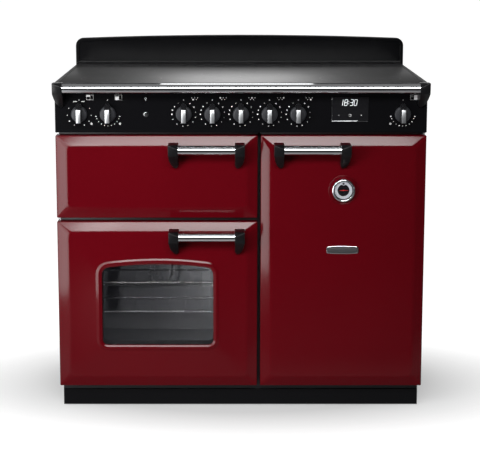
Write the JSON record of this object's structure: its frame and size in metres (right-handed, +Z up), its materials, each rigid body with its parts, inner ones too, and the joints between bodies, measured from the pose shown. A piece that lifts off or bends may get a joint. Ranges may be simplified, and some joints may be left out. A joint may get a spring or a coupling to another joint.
{
  "type": "induction range cooker",
  "caption": "Wide freestanding range cooker with an induction hob, a grill and side-by-side ovens behind hinged enamelled doors, a knob panel, a handrail and a splashback.",
  "frame": {"origin": "on the floor, under the middle of the overall box", "axes": "+Z up, the doors face -Y, +X to the right seen from the front"},
  "size_m": [0.992, 0.648, 0.994],
  "materials": {
    "red_enamel": "gloss",
    "black_enamel": "gloss",
    "cabinet_enamel": "satin",
    "oven_enamel": "gloss",
    "galvanised": "satin",
    "chrome": "polished",
    "black_cast": "satin",
    "hob_glass": "polished",
    "window_glass": "polished",
    "knob_black": "satin",
    "clock_black": "gloss",
    "switch_body": "matte",
    "insulation": "matte",
    "seal": "matte",
    "coil_copper": "satin",
    "power_unit": "matte",
    "motor": "matte",
    "element": "satin",
    "lamp_lens": "satin",
    "needle_red": "gloss",
    "foot_plastic": "matte",
    "roller": "matte"
  },
  "bodies": {
    "cabinet": {"left_side_panel": "cabinet_enamel", "right_side_panel": "cabinet_enamel", "rear_panel": "galvanised", "base_tray": "galvanised", "plinth": "black_enamel", "front_feet": "foot_plastic", "rear_roller_brackets": "galvanised", "front_frame": "cabinet_enamel", "left_oven_liner": "oven_enamel", "right_oven_liner": "oven_enamel", "grill_liner": "oven_enamel", "oven_insulation": "insulation", "door_seals": "seal", "shelf_supports": "chrome", "oven_shelves": "chrome", "fan_covers": "oven_enamel", "fan_motors": "motor", "heating_elements": "element", "oven_lamps": "lamp_lens", "grill_pan": "oven_enamel", "electronics_shelf": "galvanised", "induction_power_units": "power_unit", "induction_coils": "coil_copper", "hob_frame": "black_enamel", "hob_glass": "hob_glass", "splashback": "black_enamel", "control_panel": "black_enamel", "control_switches": "switch_body", "clock_module": "clock_black", "handrail": "chrome", "handrail_brackets": "black_cast", "terminal_box": "switch_body", "door_hinges": "galvanised"},
    "grill_door": {"grill_door_panel": "red_enamel", "grill_door_liner": "oven_enamel", "grill_door_handle_bar": "chrome", "grill_door_handle_brackets": "black_cast"},
    "left_oven_door": {"left_oven_door_panel": "red_enamel", "left_oven_door_liner": "oven_enamel", "left_oven_door_handle_bar": "chrome", "left_oven_door_handle_brackets": "black_cast", "left_oven_door_glass": "window_glass"},
    "right_oven_door": {"right_oven_door_panel": "red_enamel", "right_oven_door_liner": "oven_enamel", "right_oven_door_handle_bar": "chrome", "right_oven_door_handle_brackets": "black_cast", "thermometer_case": "chrome"},
    "thermometer_needle": {"thermometer_needle": "needle_red"},
    "rear_rollers": {"rear_rollers": "roller"},
    "left_oven_fan": {"left_oven_fan": "galvanised"},
    "right_oven_fan": {"right_oven_fan": "galvanised"},
    "light_button": {"light_button": "chrome"},
    "grill_knob": {"grill_knob": "knob_black"},
    "left_oven_knob": {"left_oven_knob": "knob_black"},
    "zone_knob_1": {"zone_knob_1": "knob_black"},
    "zone_knob_2": {"zone_knob_2": "knob_black"},
    "zone_knob_3": {"zone_knob_3": "knob_black"},
    "zone_knob_4": {"zone_knob_4": "knob_black"},
    "zone_knob_5": {"zone_knob_5": "knob_black"},
    "right_oven_knob": {"right_oven_knob": "knob_black"}
  },
  "joints": [
    {"name": "grill_door_hinge", "type": "hinge", "parent": "cabinet", "child": "grill_door", "pos_m": [-0.488, -0.2255, 0.65], "axis": [0, 0, -1], "range_deg": [0, 110]},
    {"name": "left_oven_door_hinge", "type": "hinge", "parent": "cabinet", "child": "left_oven_door", "pos_m": [-0.488, -0.2255, 0.2985], "axis": [0, 0, -1], "range_deg": [0, 110]},
    {"name": "right_oven_door_hinge", "type": "hinge", "parent": "cabinet", "child": "right_oven_door", "pos_m": [0.488, -0.2255, 0.4155], "axis": [0, 0, 1], "range_deg": [0, 110]},
    {"name": "grill_knob_turn", "type": "hinge", "parent": "cabinet", "child": "grill_knob", "pos_m": [-0.431, -0.257, 0.819], "axis": [0, 1, 0], "range_deg": [-160, 160]},
    {"name": "left_oven_knob_turn", "type": "hinge", "parent": "cabinet", "child": "left_oven_knob", "pos_m": [-0.3548, -0.257, 0.819], "axis": [0, 1, 0], "range_deg": [0, 260]},
    {"name": "zone_knob_1_turn", "type": "hinge", "parent": "cabinet", "child": "zone_knob_1", "pos_m": [-0.1524, -0.257, 0.819], "axis": [0, 1, 0], "range_deg": [0, 335]},
    {"name": "zone_knob_2_turn", "type": "hinge", "parent": "cabinet", "child": "zone_knob_2", "pos_m": [-0.0762, -0.257, 0.819], "axis": [0, 1, 0], "range_deg": [0, 335]},
    {"name": "zone_knob_3_turn", "type": "hinge", "parent": "cabinet", "child": "zone_knob_3", "pos_m": [0, -0.257, 0.819], "axis": [0, 1, 0], "range_deg": [0, 335]},
    {"name": "zone_knob_4_turn", "type": "hinge", "parent": "cabinet", "child": "zone_knob_4", "pos_m": [0.0762, -0.257, 0.819], "axis": [0, 1, 0], "range_deg": [0, 335]},
    {"name": "zone_knob_5_turn", "type": "hinge", "parent": "cabinet", "child": "zone_knob_5", "pos_m": [0.1524, -0.257, 0.819], "axis": [0, 1, 0], "range_deg": [0, 335]},
    {"name": "right_oven_knob_turn", "type": "hinge", "parent": "cabinet", "child": "right_oven_knob", "pos_m": [0.431, -0.257, 0.819], "axis": [0, 1, 0], "range_deg": [0, 260]},
    {"name": "light_button_press", "type": "slide", "parent": "cabinet", "child": "light_button", "axis": [0, 1, 0], "range_m": [0, 0.002], "stiffness_N_per_m": 500},
    {"name": "thermometer_needle_turn", "type": "hinge", "parent": "right_oven_door", "child": "thermometer_needle", "pos_m": [0.2745, -0.274, 0.616], "axis": [0, 1, 0], "range_deg": [0, 270]},
    {"name": "left_oven_fan_spin", "type": "hinge", "parent": "cabinet", "child": "left_oven_fan", "pos_m": [-0.2255, 0.18, 0.3], "axis": [0, 1, 0], "continuous": true},
    {"name": "right_oven_fan_spin", "type": "hinge", "parent": "cabinet", "child": "right_oven_fan", "pos_m": [0.2745, 0.18, 0.423], "axis": [0, 1, 0], "continuous": true},
    {"name": "rear_roller_roll", "type": "hinge", "parent": "cabinet", "child": "rear_rollers", "pos_m": [0, 0.235, 0.02], "axis": [1, 0, 0], "continuous": true}
  ]
}
